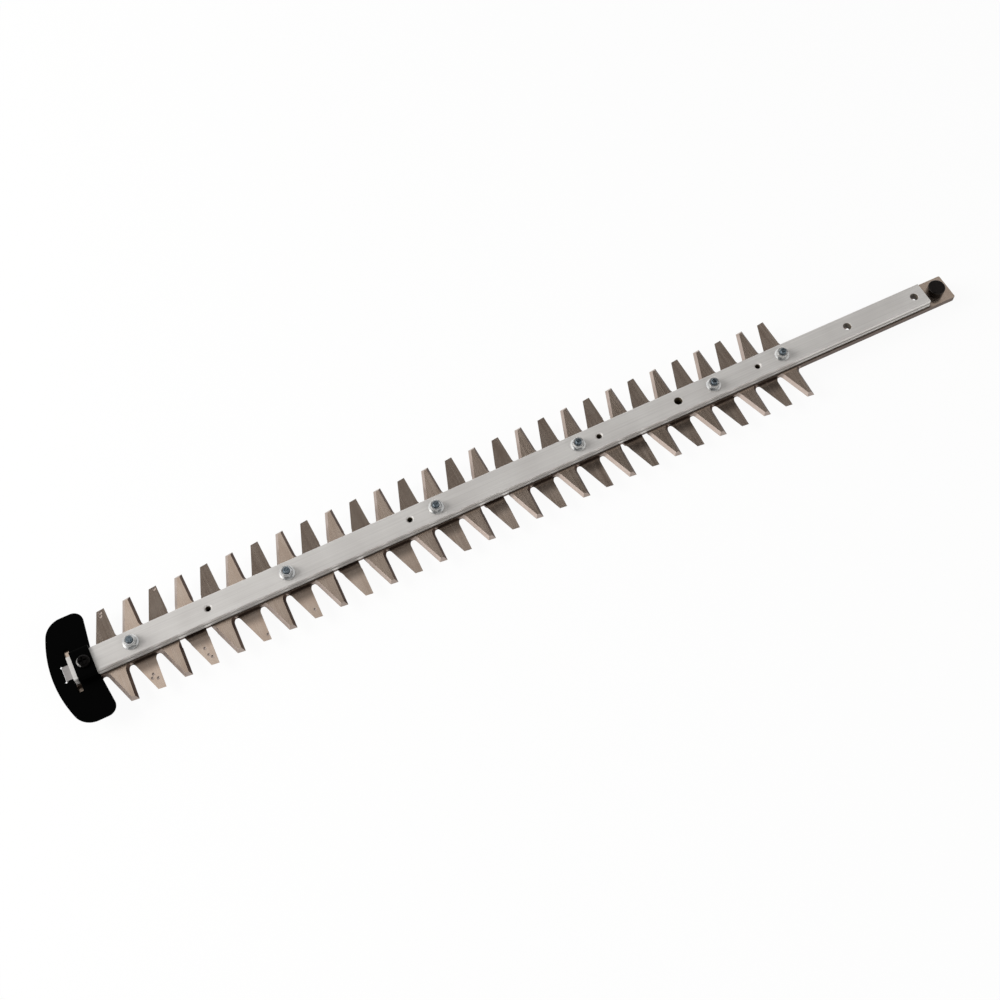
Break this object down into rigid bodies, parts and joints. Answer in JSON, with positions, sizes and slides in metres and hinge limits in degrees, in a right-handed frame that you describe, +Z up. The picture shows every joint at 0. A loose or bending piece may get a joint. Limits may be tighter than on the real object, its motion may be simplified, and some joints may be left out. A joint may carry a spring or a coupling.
{
  "type": "hedge trimmer blade",
  "caption": "Double-sided hedge trimmer blade: two toothed steel blades sliding under an aluminium guide bar, with bolts in slots, a black tip guard and drive pins on the tails.",
  "frame": {"origin": "midway between the two gearbox holes, on the underside of the guide bar", "axes": "+X along the bar from the tip guard to the tail, +Y across the teeth, +Z up, from the blades to the nuts"},
  "size_m": [0.7627, 0.0852, 0.0254],
  "materials": {
    "anodised_aluminium": "satin anodised",
    "blade_steel": "ground, lightly bronzed",
    "black_steel": "black oxide",
    "black_paint": "black powder coat",
    "zinc_plate": "bright zinc plated",
    "bush_steel": "turned"
  },
  "bodies": {
    "guide": {"guide_bar": "anodised_aluminium", "tip_guard": "black_paint", "tip_guard_screw": "black_steel", "blade_bolts": "zinc_plate", "flange_nuts": "zinc_plate", "blade_washers": "zinc_plate", "guide_bush_1": "bush_steel", "guide_bush_2": "bush_steel", "guide_bush_3": "bush_steel", "guide_bush_4": "bush_steel", "guide_bush_5": "bush_steel", "guide_bush_6": "bush_steel"},
    "upper_cutter": {"upper_blade": "blade_steel", "upper_drive_pin": "black_steel"},
    "lower_cutter": {"lower_blade": "blade_steel", "lower_drive_pin": "black_steel"}
  },
  "joints": [
    {"name": "upper_blade_slide", "type": "slide", "parent": "guide", "child": "upper_cutter", "axis": [1, 0, 0], "range_m": [-0.005, 0.015]},
    {"name": "lower_blade_slide", "type": "slide", "parent": "guide", "child": "lower_cutter", "axis": [1, 0, 0], "range_m": [-0.005, 0.015]}
  ]
}
